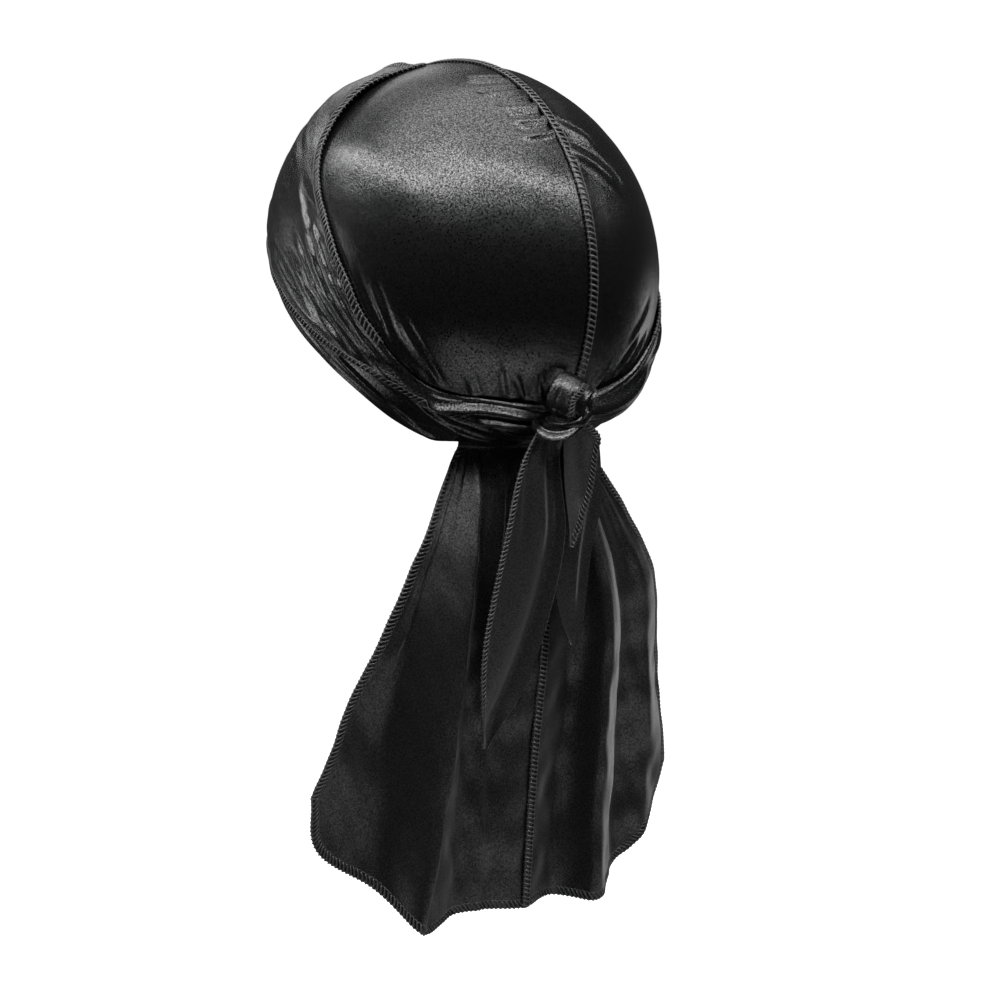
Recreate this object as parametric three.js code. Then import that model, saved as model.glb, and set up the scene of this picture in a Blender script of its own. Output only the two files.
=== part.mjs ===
// A satin durag, tied: two crown panels with a raised centre seam, a gathered cape that hangs from the nape,
// two wide straps wrapped round the head, and the knot at the back with its loop and two hanging tails.
// Millimetres, +Z up. The wearer faces -Y, and the wearer's left is +X.
// The origin is the middle of the head hollow, at the head's widest level.
import * as THREE from "three";
import { mergeVertices } from "three/addons/utils/BufferGeometryUtils.js";

// The head form that the crown lies on, measured from the origin
const headHalfWidth = 78.8;
const headFront = 106.3;
const headBack = 90.3;
const headHeight = 94.3;
const headTaper = 0.185; // how much wider the back of the head is than its front

// Cloth and the clearance between pieces that lie on each other
const cloth = 1.2;
const clearance = 0.45;
const pleatHeight = 1.1; // of the pleats in a wrapped strap
const strapBunch = 3.6; // thickness of a strap where it is gathered at the knot
const edgeFlare = 3.6; // how far a strap's upper edge stands off the forehead
const seamWidth = 4.4;
const seamHeight = 1.3;

// The cape
const capeLength = 212;
const capeHalfWidth = 106;
const capeFoldDepth = 12;
const capeStandOff = 19; // from the nape out to the cape's middle line
const capeWrapDepth = 30; // how far the cape's side edges come forward of its middle

// The knot and the ends of the straps that hang from it
const knotTurn = 6.4; // degrees from the middle of the back
const knotLevel = -0.475; // share of the head's height
const knotWidth = 18;
const knotHeight = 15;
const knotDepth = 11;
const knotBandThickness = 1.6;
const loopWidth = 14;
const loopHeight = 21;
const loopDepth = 6;
const loopOffset = 6; // from the knot's middle towards the wearer's left
const longTailLength = 140;
const longTailWidth = 42;
const shortTailLength = 98;
const shortTailWidth = 26;
const tailFoldDepth = 3.2;

// Material colours
const satinColour = 0x0d0d0e;
const threadColour = 0x2c2c2e;

const degrees = Math.PI / 180;
const mix = (a, b, t) => a + (b - a) * t;
const clamp = (x, low, high) => Math.min(high, Math.max(low, x));
const ease = (from, to, x) => {
  const t = clamp((x - from) / (to - from), 0, 1);
  return t * t * (3 - 2 * t);
};

// A smooth curve through a table's rows: the value of one column where another column has the value `at`.
function follow(rows, key, at, column) {
  const ascending = rows[rows.length - 1][key] > rows[0][key];
  const table = ascending ? rows : [...rows].reverse();
  const last = table.length - 2;
  let i = 0;
  while (i < last && at > table[i + 1][key]) i += 1;
  const a = table[i];
  const b = table[i + 1];
  const span = b[key] - a[key];
  const t = clamp((at - a[key]) / span, 0, 1);
  const slope = (before, after) => (after[column] - before[column]) / (after[key] - before[key]);
  const slopeA = slope(table[Math.max(i - 1, 0)], b) * span;
  const slopeB = slope(a, table[Math.min(i + 2, table.length - 1)]) * span;
  const t2 = t * t;
  const t3 = t2 * t;
  return (
    (2 * t3 - 3 * t2 + 1) * a[column] +
    (t3 - 2 * t2 + t) * slopeA +
    (3 * t2 - 2 * t3) * b[column] +
    (t3 - t2) * slopeB
  );
}

// A point `out` beyond the head form. The turn is 0 at the back of the head and goes towards the wearer's left.
function headPoint(turn, rise, out) {
  const level = Math.cos(rise);
  const length = Math.cos(turn) > 0 ? headBack : headFront;
  return new THREE.Vector3(
    (headHalfWidth + out) * Math.sin(turn) * level * (1 + headTaper * Math.cos(turn) * level),
    (length + out) * Math.cos(turn) * level,
    (headHeight + out) * Math.sin(rise),
  );
}

// The same point, found by its level: a share of the head's height, from -1 to 1.
const levelPoint = (turnDegrees, level, out) =>
  headPoint(turnDegrees * degrees, Math.asin(clamp(level, -1, 1)), out);

// A closed solid between two surfaces over the same grid. Rows that meet in a point make a pole.
function shell(outer, inner, across, along) {
  const positions = [];
  for (const side of [outer, inner]) {
    for (let i = 0; i <= across; i += 1) {
      for (let j = 0; j <= along; j += 1) positions.push(...side(i / across, j / along).toArray());
    }
  }
  const layer = (across + 1) * (along + 1);
  const at = (i, j, side) => side * layer + i * (along + 1) + j;
  const faces = [];
  const quad = (a, b, c, d) => faces.push([a, b, c], [a, c, d]);
  for (let i = 0; i < across; i += 1) {
    for (let j = 0; j < along; j += 1) {
      quad(at(i, j, 0), at(i + 1, j, 0), at(i + 1, j + 1, 0), at(i, j + 1, 0));
      quad(at(i, j, 1), at(i, j + 1, 1), at(i + 1, j + 1, 1), at(i + 1, j, 1));
    }
  }
  for (let i = 0; i < across; i += 1) {
    quad(at(i, 0, 0), at(i, 0, 1), at(i + 1, 0, 1), at(i + 1, 0, 0));
    quad(at(i, along, 0), at(i + 1, along, 0), at(i + 1, along, 1), at(i, along, 1));
  }
  for (let j = 0; j < along; j += 1) {
    quad(at(0, j, 0), at(0, j + 1, 0), at(0, j + 1, 1), at(0, j, 1));
    quad(at(across, j, 0), at(across, j, 1), at(across, j + 1, 1), at(across, j + 1, 0));
  }
  return closedGeometry(positions, faces);
}

// Merges the shared corners, drops faces that have shrunk to a line, and turns the faces outwards.
function closedGeometry(positions, faces) {
  const loose = new THREE.BufferGeometry();
  loose.setAttribute("position", new THREE.Float32BufferAttribute(positions, 3));
  loose.setIndex(faces.flat());
  const merged = mergeVertices(loose, 1e-3);
  const place = merged.getAttribute("position");
  const corner = (k) => new THREE.Vector3().fromBufferAttribute(place, k);
  const kept = [];
  for (let k = 0; k < merged.index.count; k += 3) {
    const face = [merged.index.getX(k), merged.index.getX(k + 1), merged.index.getX(k + 2)];
    if (new Set(face).size === 3) kept.push(face);
  }
  const volume = kept.reduce((sum, [a, b, c]) => sum + corner(a).dot(corner(b).cross(corner(c))), 0);
  const outward = volume > 0 ? kept : kept.map(([a, b, c]) => [a, c, b]);
  merged.setIndex(outward.flat());
  return merged;
}

// The surface of a free sheet moved along its own normal. `side` is 1 or -1: which way counts as outwards.
function offsetSurface(surface, distance, side) {
  const step = 1e-3;
  return (u, v) => {
    const u0 = clamp(u, step, 1 - step);
    const v0 = clamp(v, step, 1 - step);
    const alongU = surface(u0 + step, v0).sub(surface(u0 - step, v0));
    const alongV = surface(u0, v0 + step).sub(surface(u0, v0 - step));
    const normal = alongU.cross(alongV).normalize().multiplyScalar(side * distance);
    return surface(u, v).add(normal);
  };
}

// Crown: two satin panels over the skull, from the forehead to the nape, joined on the centre line.
// level: the panel's lower edge, as a share of the head's height, below which it is hidden by the straps.
const crownEdge = [
  { turn: 0, level: -0.72 },
  { turn: 36, level: -0.72 },
  { turn: 50, level: -0.66 },
  { turn: 70, level: -0.45 },
  { turn: 90, level: -0.33 },
  { turn: 120, level: -0.12 },
  { turn: 150, level: 0.03 },
  { turn: 180, level: 0.07 },
];
const seamHalfGap = clearance / 2;

function crownPanel(side) {
  const surface = (out) => (u, v) => {
    const turn = 180 * u;
    const lowest = Math.asin(follow(crownEdge, "turn", turn, "level"));
    const rise = mix(lowest, Math.PI / 2, v);
    const point = headPoint(turn * degrees, rise, out);
    point.x = side * (point.x + seamHalfGap);
    return point;
  };
  return shell(surface(cloth), surface(0), 22, 12);
}

// The raised centre seam: the overlocked seam allowance, from the forehead over the crown to the nape.
const crownSeamBack = Math.asin(-0.5);
const crownSeamFront = 130 * degrees;

function crownSeam() {
  const surface = (out) => (u, v) => {
    const rise = mix(crownSeamBack, crownSeamFront, u);
    const length = rise < Math.PI / 2 ? headBack : headFront;
    return new THREE.Vector3(
      mix(-seamWidth / 2, seamWidth / 2, v),
      (length + out) * Math.cos(rise),
      (headHeight + out) * Math.sin(rise),
    );
  };
  const bottom = cloth + clearance;
  return shell(surface(bottom + seamHeight), surface(bottom), 36, 1);
}

// Where the knot sits, and how far it reaches round the head on each side of its middle, in degrees
const napeInner = cloth + clearance;
const napeOuter = napeInner + cloth + pleatHeight;
const knotSeat = levelPoint(knotTurn, knotLevel, napeOuter + clearance);
const knotCentre = knotSeat.clone().add(new THREE.Vector3(0, knotDepth / 2, 0));
const knotHalfTurn = Math.atan((knotWidth / 2 + clearance) / knotSeat.y) / degrees;

// Straps: the first pass of each strap lies low round the nape; the next pass crosses the forehead.
// low, high: the strap's edges as shares of the head's height. Turns below 0 are on the wearer's right.
const napeEdges = [
  { turn: -118, low: -0.14, high: 0.1 },
  { turn: -90, low: -0.36, high: -0.12 },
  { turn: -70, low: -0.47, high: -0.22 },
  { turn: -50, low: -0.6, high: -0.32 },
  { turn: -30, low: -0.67, high: -0.43 },
  { turn: 0, low: -0.685, high: -0.52 },
  { turn: 33, low: -0.67, high: -0.52 },
  { turn: 50, low: -0.64, high: -0.42 },
  { turn: 62, low: -0.55, high: -0.34 },
  { turn: 72, low: -0.45, high: -0.28 },
  { turn: 90, low: -0.345, high: -0.16 },
  { turn: 118, low: -0.13, high: 0.08 },
];
const leftEdges = [
  { turn: knotTurn + knotHalfTurn, low: -0.56, high: -0.44 },
  { turn: 24, low: -0.6, high: -0.485 },
  { turn: 42, low: -0.52, high: -0.425 },
  { turn: 54, low: -0.44, high: -0.33 },
  { turn: 62, low: -0.375, high: -0.225 },
  { turn: 70, low: -0.325, high: -0.09 },
  { turn: 78, low: -0.285, high: 0.13 },
  { turn: 90, low: -0.25, high: 0.325 },
  { turn: 107, low: -0.13, high: 0.47 },
  { turn: 120, low: -0.03, high: 0.585 },
  { turn: 135, low: 0.05, high: 0.69 },
  { turn: 155, low: 0.09, high: 0.735 },
  { turn: 180, low: 0.1, high: 0.66 },
  { turn: 205, low: 0.11, high: 0.42 },
  { turn: 225, low: 0.12, high: 0.19 },
];
const rightEdges = [
  { turn: knotTurn - knotHalfTurn, low: -0.54, high: -0.42 },
  { turn: -15, low: -0.57, high: -0.4 },
  { turn: -25, low: -0.53, high: -0.35 },
  { turn: -32, low: -0.47, high: -0.28 },
  { turn: -42, low: -0.4, high: -0.15 },
  { turn: -60, low: -0.31, high: 0.04 },
  { turn: -90, low: -0.25, high: 0.34 },
  { turn: -120, low: -0.03, high: 0.62 },
  { turn: -150, low: 0.09, high: 0.82 },
  { turn: -180, low: 0.13, high: 0.83 },
  { turn: -200, low: 0.14, high: 0.72 },
];

const strapInner = napeOuter + clearance;
const frontOverlap = cloth + pleatHeight + clearance;

// Rounded pleats that run along a strap: from 0 in a valley to 1 on a ridge.
const pleat = (w, count) => 0.5 - 0.5 * Math.cos(2 * Math.PI * (w * count));

function wrappedStrap(edges, inner, thickness, along, across) {
  const first = edges[0].turn;
  const final = edges[edges.length - 1].turn;
  const surface = (out) => (u, v) => {
    const turn = mix(first, final, u);
    const low = follow(edges, "turn", turn, "low");
    const high = follow(edges, "turn", turn, "high");
    return levelPoint(turn, mix(low, high, v), out(turn, v));
  };
  const outside = (turn, v) => inner(turn, v) + thickness(turn, v);
  return shell(surface(outside), surface(inner), along, across);
}

// Both upper straps ride over the first pass along their lower edge and come down to the crown above it.
const overNapeWrap = (v) => mix(strapInner, napeInner, ease(0.3, 0.75, v));

function napeWrap() {
  const inner = () => napeInner;
  const thickness = (turn, v) => cloth + pleatHeight * pleat(v, 2);
  return wrappedStrap(napeEdges, inner, thickness, 32, 8);
}

function leftWrap() {
  const inner = (turn, v) => {
    const onForehead = strapInner + frontOverlap + edgeFlare * v ** 3;
    const bySide = mix(strapInner, overNapeWrap(v), ease(66, 78, turn));
    return mix(bySide, onForehead, ease(112, 152, turn));
  };
  const thickness = (turn, v) => {
    const gathered = 1 - ease(14, 60, turn);
    return cloth + pleatHeight * pleat(v, 3) + (strapBunch - cloth) * gathered * pleat(v, 1);
  };
  return wrappedStrap(leftEdges, inner, thickness, 38, 12);
}

function rightWrap() {
  const inner = (turn, v) => {
    const onForehead = napeInner + seamHeight + clearance + edgeFlare * v ** 3;
    const bySide = mix(strapInner, overNapeWrap(v), ease(35, 60, -turn));
    return mix(bySide, onForehead, ease(120, 150, -turn));
  };
  const thickness = (turn, v) => {
    const gathered = 1 - ease(14, 50, -turn);
    return cloth + pleatHeight * pleat(v, 3) + (strapBunch - cloth) * gathered * pleat(v, 1);
  };
  return wrappedStrap(rightEdges, inner, thickness, 32, 12);
}

// Cape: one gathered sheet from the nape to the hem, in two halves with a raised centre seam.
// Each row is a fold line, from the left side edge to the right one.
// at: its place across the cloth. turn: where it leaves the nape, in degrees.
// x1, x2, x3: how far sideways it is at a third, two thirds and all of its length, as a share of the half width.
// out1, out2, out3: how far it stands out from the cape's even curve there, as a share of the fold depth.
// drop: its length, as a share of the cape's length.
const capeFolds = [
  { at: -1, turn: 36, x1: 0.615, x2: 0.84, x3: 1, out1: -0.55, out2: -0.1, out3: 0.1, drop: 0.715 },
  { at: -0.88, turn: 35, x1: 0.6, x2: 0.81, x3: 0.95, out1: -0.5, out2: -0.25, out3: -0.15, drop: 0.835 },
  { at: -0.74, turn: 33, x1: 0.6, x2: 0.7, x3: 0.71, out1: -0.35, out2: -0.5, out3: -0.4, drop: 0.925 },
  { at: -0.54, turn: 28, x1: 0.48, x2: 0.535, x3: 0.59, out1: 0.45, out2: 0.7, out3: 0.85, drop: 1.005 },
  { at: -0.28, turn: 18, x1: 0.31, x2: 0.32, x3: 0.32, out1: -0.35, out2: -0.45, out3: -0.35, drop: 0.998 },
  { at: 0, turn: 1, x1: 0.04, x2: 0.047, x3: 0.033, out1: 0, out2: 0.05, out3: 0.05, drop: 1 },
  { at: 0.17, turn: -9, x1: -0.16, x2: -0.17, x3: -0.155, out1: -0.35, out2: -0.5, out3: -0.45, drop: 1.002 },
  { at: 0.36, turn: -16, x1: -0.285, x2: -0.3, x3: -0.315, out1: 0.6, out2: 0.85, out3: 0.95, drop: 1 },
  { at: 0.6, turn: -21, x1: -0.5, x2: -0.6, x3: -0.65, out1: -0.45, out2: -0.7, out3: -0.65, drop: 1 },
  { at: 0.8, turn: -26, x1: -0.63, x2: -0.78, x3: -0.84, out1: -0.1, out2: 0.15, out3: 0.1, drop: 0.93 },
  { at: 0.9, turn: -28, x1: -0.66, x2: -0.85, x3: -0.945, out1: -0.2, out2: -0.1, out3: 0, drop: 0.86 },
  { at: 1, turn: -29.5, x1: -0.69, x2: -0.885, x3: -1, out1: -0.35, out2: -0.3, out3: -0.15, drop: 0.79 },
];
const napeLevel = crownEdge[0].level;
const napePoint = levelPoint(0, napeLevel, 0);
const capeTopLevel = napeLevel - clearance / headHeight;
const capeTopOut = cloth;

// One fold line's point at v from 0 at the nape to 1 at the hem.
function foldPoint(fold, v) {
  const top = levelPoint(fold.turn, capeTopLevel, capeTopOut);
  const free = (share, out) => {
    const x = share * capeHalfWidth;
    const forward = capeWrapDepth * Math.abs(share) ** 1.6;
    return { x, y: napePoint.y + capeStandOff - forward + out * capeFoldDepth };
  };
  const rows = [
    { v: 0, x: top.x, y: top.y },
    { v: 1 / 3, ...free(fold.x1, fold.out1) },
    { v: 2 / 3, ...free(fold.x2, fold.out2) },
    { v: 1, ...free(fold.x3, fold.out3) },
  ];
  return {
    at: fold.at,
    x: follow(rows, "v", v, "x"),
    y: follow(rows, "v", v, "y"),
    z: top.z - v * fold.drop * capeLength,
  };
}

const capeSurface = (at, v) => {
  const rows = capeFolds.map((fold) => foldPoint(fold, v));
  return new THREE.Vector3(
    follow(rows, "at", at, "x"),
    follow(rows, "at", at, "y"),
    follow(rows, "at", at, "z"),
  );
};

function capeHalf(side) {
  const outer = (u, v) => {
    const point = capeSurface(-side * u, v);
    point.x += side * seamHalfGap;
    return point;
  };
  return shell(outer, offsetSurface(outer, cloth, side), 20, 15);
}

const capeSeamTop = 0.02;
const capeSeamShare = seamWidth / 2 / capeHalfWidth;

function capeSeam() {
  const strip = (u, v) => capeSurface(mix(capeSeamShare, -capeSeamShare, u), mix(capeSeamTop, 1, v));
  const inner = offsetSurface(strip, clearance, -1);
  const outer = offsetSurface(strip, clearance + seamHeight, -1);
  return shell(outer, inner, 1, 20);
}

// Knot: a tight core, the strap end that wraps under it, and the short loop that is pulled up through it.
function knotCore() {
  const core = new THREE.SphereGeometry(0.5, 12, 8);
  core.scale(knotWidth, knotDepth, knotHeight);
  core.translate(knotCentre.x, knotCentre.y, knotCentre.z);
  return core;
}

// A point `out` beyond the core. The sweep goes round it as seen from behind, and the lean is towards the back.
function knotPoint(sweep, lean, out) {
  const x = (knotWidth / 2 + out) * Math.cos(sweep) * Math.cos(lean);
  const y = (knotDepth / 2 + out) * Math.sin(lean);
  const z = (knotHeight / 2 + out) * Math.sin(sweep) * Math.cos(lean);
  return new THREE.Vector3(x, y, z).add(knotCentre);
}

function knotBand() {
  const surface = (out) => (u, v) => {
    const narrowing = 0.35 + 0.65 * Math.sin(Math.PI * u);
    const lean = 15 + 38 * narrowing * (2 * v - 1);
    return knotPoint(mix(-172, -8, u) * degrees, lean * degrees, out);
  };
  return shell(surface(clearance + knotBandThickness), surface(clearance), 14, 4);
}

// The loop is a strap's end folded over: up the back, round the bend and down the front, a little tapered.
const loopLean = -0.2;

function knotLoop() {
  const bend = loopDepth / 2;
  const straight = loopHeight - bend;
  const total = 2 * straight + Math.PI * bend;
  const base = knotPoint(0, 90 * degrees, clearance + bend);
  base.x += loopOffset;
  const surface = (inset) => (u, v) => {
    const run = v * total;
    const radius = bend - inset;
    const turn = clamp((run - straight) / bend, 0, Math.PI);
    const climb = Math.min(run, total - run, straight);
    const up = climb + radius * Math.sin(turn);
    const width = loopWidth * mix(0.72, 1, up / loopHeight);
    const across = mix(-width / 2, width / 2, u);
    return new THREE.Vector3(
      base.x + across + loopLean * up,
      base.y - radius * Math.cos(turn),
      base.z + up - (loopLean / 2) * across,
    );
  };
  return shell(surface(0), surface(cloth), 2, 18);
}

// Tails: the straps' pointed ends, folded lengthwise, which come out from under the knot's band.
// down: share of the tail's length. left, right: its side edges as shares of its width, from the knot's middle.
const longTail = [
  { down: 0, left: 0.41, right: -0.04 },
  { down: 0.12, left: 0.58, right: 0 },
  { down: 0.3, left: 0.8, right: -0.01 },
  { down: 0.52, left: 0.95, right: 0.02 },
  { down: 0.72, left: 0.96, right: 0.18 },
  { down: 0.88, left: 0.89, right: 0.44 },
  { down: 1, left: 0.73, right: 0.68 },
];
const shortTail = [
  { down: 0, left: 0.06, right: -0.92 },
  { down: 0.2, left: 0.1, right: -0.95 },
  { down: 0.45, left: 0.1, right: -0.92 },
  { down: 0.7, left: 0, right: -0.9 },
  { down: 0.88, left: -0.3, right: -0.86 },
  { down: 1, left: -0.6, right: -0.78 },
];

// lean: where the tail leaves the band's underside, from 0 straight below the core towards the back.
function hangingTail(rows, width, length, lean) {
  const bandOut = clearance + knotBandThickness;
  const topY = knotPoint(-Math.PI / 2, lean * degrees, bandOut).y;
  const topZ = knotCentre.z - knotHeight / 2 - bandOut - clearance;
  const surface = (u, v) => {
    const left = follow(rows, "down", v, "left") * width;
    const right = follow(rows, "down", v, "right") * width;
    const ridge = tailFoldDepth * (pleat(u, 1.5) - 0.5) * (1 - 0.6 * v);
    return new THREE.Vector3(knotCentre.x + mix(left, right, u), topY + ridge, topZ - v * length);
  };
  return shell(surface, offsetSurface(surface, cloth, 1), 8, 11);
}

const satin = new THREE.MeshStandardMaterial({ color: satinColour, roughness: 0.42, metalness: 0 });
const thread = new THREE.MeshStandardMaterial({ color: threadColour, roughness: 0.6, metalness: 0 });

const durag = new THREE.Group();
function add(name, geometry, material) {
  const mesh = new THREE.Mesh(geometry, material);
  mesh.name = name;
  durag.add(mesh);
}

add("crown_left", crownPanel(1), satin);
add("crown_right", crownPanel(-1), satin);
add("crown_seam", crownSeam(), thread);
add("nape_wrap", napeWrap(), satin);
add("left_wrap", leftWrap(), satin);
add("right_wrap", rightWrap(), satin);
add("cape_left", capeHalf(1), satin);
add("cape_right", capeHalf(-1), satin);
add("cape_seam", capeSeam(), thread);
add("knot_core", knotCore(), satin);
add("knot_band", knotBand(), satin);
add("knot_loop", knotLoop(), satin);
add("long_tail", hangingTail(longTail, longTailWidth, longTailLength, 16), satin);
add("short_tail", hangingTail(shortTail, shortTailWidth, shortTailLength, -24), satin);

export default durag;
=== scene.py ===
import bpy
import math
import numpy as np
from mathutils import Matrix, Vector
from mathutils.kdtree import KDTree


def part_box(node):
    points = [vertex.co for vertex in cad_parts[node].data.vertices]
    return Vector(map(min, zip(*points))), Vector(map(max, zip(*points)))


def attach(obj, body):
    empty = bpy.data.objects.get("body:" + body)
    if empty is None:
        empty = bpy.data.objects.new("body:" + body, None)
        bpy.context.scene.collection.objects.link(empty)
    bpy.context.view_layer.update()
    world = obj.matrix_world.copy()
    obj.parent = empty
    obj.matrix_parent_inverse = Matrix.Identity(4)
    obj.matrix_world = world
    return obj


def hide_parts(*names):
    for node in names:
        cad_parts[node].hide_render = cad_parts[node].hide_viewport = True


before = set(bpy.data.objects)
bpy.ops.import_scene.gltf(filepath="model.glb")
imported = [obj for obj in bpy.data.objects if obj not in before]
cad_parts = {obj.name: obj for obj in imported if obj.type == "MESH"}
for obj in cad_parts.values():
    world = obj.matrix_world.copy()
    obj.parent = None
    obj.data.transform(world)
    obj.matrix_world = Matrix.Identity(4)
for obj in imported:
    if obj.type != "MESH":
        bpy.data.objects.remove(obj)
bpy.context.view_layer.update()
mm = 0.001

# Camera: behind the wearer's left shoulder and a little above the ears, turned slightly about its own
# axis, so that the whole durag from the crown to the hem fills the picture.
camera_azimuth = math.radians(139.8)
camera_elevation = math.radians(13.0)
camera_roll = math.radians(4.1)
camera_distance = 1.2
camera_lens = 94.5
aim_right = 18.4 * mm
aim_up = -103.1 * mm


def way_to(azimuth, elevation):
    """The way from the origin to a place round the object, from angles in radians. Azimuth 0 is before the
    wearer's face, and a quarter turn is at the wearer's left."""
    level = np.cos(elevation)
    return np.stack((np.sin(azimuth) * level, -np.cos(azimuth) * level, np.sin(elevation)), -1)


def placed(right, up, back, place):
    """The matrix of a camera or a lamp, from its axes and its place."""
    rows = [[*axes, at] for axes, at in zip(np.stack((right, up, back), 1), place)]
    return Matrix([*rows, [0.0, 0.0, 0.0, 1.0]])


back = way_to(camera_azimuth, camera_elevation)
level_right = np.array((math.cos(camera_azimuth), math.sin(camera_azimuth), 0.0))
level_up = np.cross(back, level_right)
right = math.cos(camera_roll) * level_right + math.sin(camera_roll) * level_up
up = -math.sin(camera_roll) * level_right + math.cos(camera_roll) * level_up
eye = right * aim_right + up * aim_up + back * camera_distance

camera_data = bpy.data.cameras.new("camera")
camera_data.lens = camera_lens
camera_data.sensor_width = 36.0
camera_data.clip_end = 200.0
camera = bpy.data.objects.new("camera", camera_data)
bpy.context.collection.objects.link(camera)
camera.matrix_world = placed(right, up, back, eye)
bpy.context.scene.camera = camera
bpy.context.scene.view_settings.view_transform = "Standard"

# Studio: a wide pale floor well below the hanging cape, a large soft box overhead and smaller ones round the
# object. The low ones lift the shade on the undersides of the straps and in the folds of cape and tails.
floor_level = -0.7
floor_width = 120.0


def plain_material(name, base, roughness):
    material = bpy.data.materials.new(name)
    material.use_nodes = True
    shader = material.node_tree.nodes["Principled BSDF"]
    shader.inputs["Base Color"].default_value = (*base, 1.0)
    shader.inputs["Roughness"].default_value = roughness
    return material, shader


bpy.ops.object.select_all(action="DESELECT")
bpy.ops.mesh.primitive_circle_add(vertices=96, radius=floor_width / 2, fill_type="NGON")
floor = bpy.context.object
floor.name = "floor"
floor.data.transform(Matrix.Translation((0.0, 0.0, floor_level)))
floor_paper, floor_shader = plain_material("floor_paper", (0.9, 0.9, 0.9), 0.9)
floor_shader.inputs["Emission Color"].default_value = (1.0, 1.0, 1.0, 1.0)
floor_shader.inputs["Emission Strength"].default_value = 1.0
floor.data.materials.append(floor_paper)
floor.visible_glossy = False
floor.visible_diffuse = False

world = bpy.data.worlds.new("studio")
world.use_nodes = True
world.node_tree.nodes["Background"].inputs["Color"].default_value = (1.0, 1.0, 1.0, 1.0)
world.node_tree.nodes["Background"].inputs["Strength"].default_value = 0.03
bpy.context.scene.world = world

light_distance = 1.5
# Soft boxes: (name, azimuth, elevation, width, height, radiance), in degrees and metres.
soft_boxes = [
    ("top_box", 60, 84, 2.2, 2.2, 2.1),
    ("front_box", -20, 22, 0.7, 0.5, 1.2),
    ("side_box", 28, -6, 0.42, 0.45, 3.8),
    ("low_left_box", 52, -32, 0.8, 0.5, 2.2),
    ("low_back_box", 168, -44, 1.8, 0.6, 0.8),
    ("right_box", 280, -16, 0.45, 0.55, 1.3),
    ("low_right_box", 228, -40, 1.0, 0.5, 0.6),
]
for name, azimuth, elevation, width, height, radiance in soft_boxes:
    data = bpy.data.lights.new(name, "AREA")
    data.shape = "RECTANGLE"
    data.size = width
    data.size_y = height
    data.energy = radiance * math.pi * width * height
    lamp = bpy.data.objects.new(name, data)
    bpy.context.collection.objects.link(lamp)
    a = math.radians(azimuth)
    away = way_to(a, math.radians(elevation))
    side = np.array((math.cos(a), math.sin(a), 0.0))
    lamp.matrix_world = placed(side, np.cross(away, side), away, away * light_distance)
    lamp.visible_camera = False

# Strip light: a long curved soft box, high over the wearer's left side and back, which draws the broad sheen
# across the crown. It narrows where it comes down in front. Stops are (azimuth, elevation, half height).
arch_stops = [
    (7, 18, 2), (15, 22, 3), (33, 31, 5), (50, 40, 6.5), (67, 47, 6.5), (88, 53, 6.5), (115, 59, 6.5),
    (145, 61, 6.5), (170, 58, 6.5), (190, 54, 6.5), (212, 46, 6.5), (235, 34, 6.5),
]
arch_radiance = 6.5
bpy.ops.object.select_all(action="DESELECT")
bpy.ops.mesh.primitive_grid_add(x_subdivisions=48, y_subdivisions=2, size=2)
arch = bpy.context.object
arch.name = "arch_box"
arch_grid = np.empty(3 * len(arch.data.vertices))
arch.data.vertices.foreach_get("co", arch_grid)
arch_grid = arch_grid.reshape(-1, 3)
arch_table = np.array(arch_stops, float)
arch_azimuth = np.interp(arch_grid[:, 0], (-1, 1), (arch_table[0, 0], arch_table[-1, 0]))
arch_elevation = np.interp(arch_azimuth, arch_table[:, 0], arch_table[:, 1])
arch_elevation += np.interp(arch_azimuth, arch_table[:, 0], arch_table[:, 2]) * arch_grid[:, 1]
arch_points = way_to(np.radians(arch_azimuth), np.radians(arch_elevation)) * light_distance
arch.data.vertices.foreach_set("co", arch_points.reshape(-1))
arch_cloth, arch_shader = plain_material("arch_cloth", (0.9, 0.9, 0.9), 0.9)
arch_shader.inputs["Emission Color"].default_value = (1.0, 1.0, 1.0, 1.0)
arch_shader.inputs["Emission Strength"].default_value = arch_radiance
arch.data.materials.append(arch_cloth)
arch.visible_camera = False

# Crown: two panels of black satin stretched smooth over the skull and sewn together on the centre line.
# Each is one sheet laid on the head form. The cloth drags into folds where the straps pull at it, and it
# puckers where the centre seam draws it up.
head_half_width = 78.8 * mm
head_front = 106.3 * mm
head_back = 90.3 * mm
head_height = 94.3 * mm
head_taper = 0.185
satin_thickness = 0.5 * mm
head_middle = (0.0, 0.0, 0.0)
crown_lift = 1.2 * mm
panel_gap = 0.25 * mm
degree = math.pi / 180


def head_point(turn, rise, out):
    """A point `out` beyond the head form. Turn 0 is the back of the head, 90 degrees the wearer's left."""
    length = np.where(np.cos(turn) > 0, head_back, head_front)
    level = np.cos(rise)
    x = (head_half_width + out) * np.sin(turn) * level * (1 + head_taper * np.cos(turn) * level)
    y = (length + out) * np.cos(turn) * level
    z = (head_height + out) * np.sin(rise)
    return np.stack(np.broadcast_arrays(x, y, z), -1)


def through(rows, at):
    """Smooth curves through a table's rows, read at the places `at`. Each row is (place, value, ...)."""
    table = np.asarray(rows, float)
    places = table[:, 0]
    values = table[:, 1:]
    slopes = np.gradient(values, places, axis=0)
    at = np.asarray(at, float)
    i = np.clip(np.searchsorted(places, at, side="right") - 1, 0, len(places) - 2)
    span = (places[i + 1] - places[i])[..., None]
    t = np.clip((at - places[i])[..., None] / span, 0, 1)
    smooth = (
        (2 * t**3 - 3 * t**2 + 1) * values[i]
        + (t**3 - 2 * t**2 + t) * slopes[i] * span
        + (3 * t**2 - 2 * t**3) * values[i + 1]
        + (t**3 - t**2) * slopes[i + 1] * span
    )
    return smooth[..., 0] if smooth.shape[-1] == 1 else smooth


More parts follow.
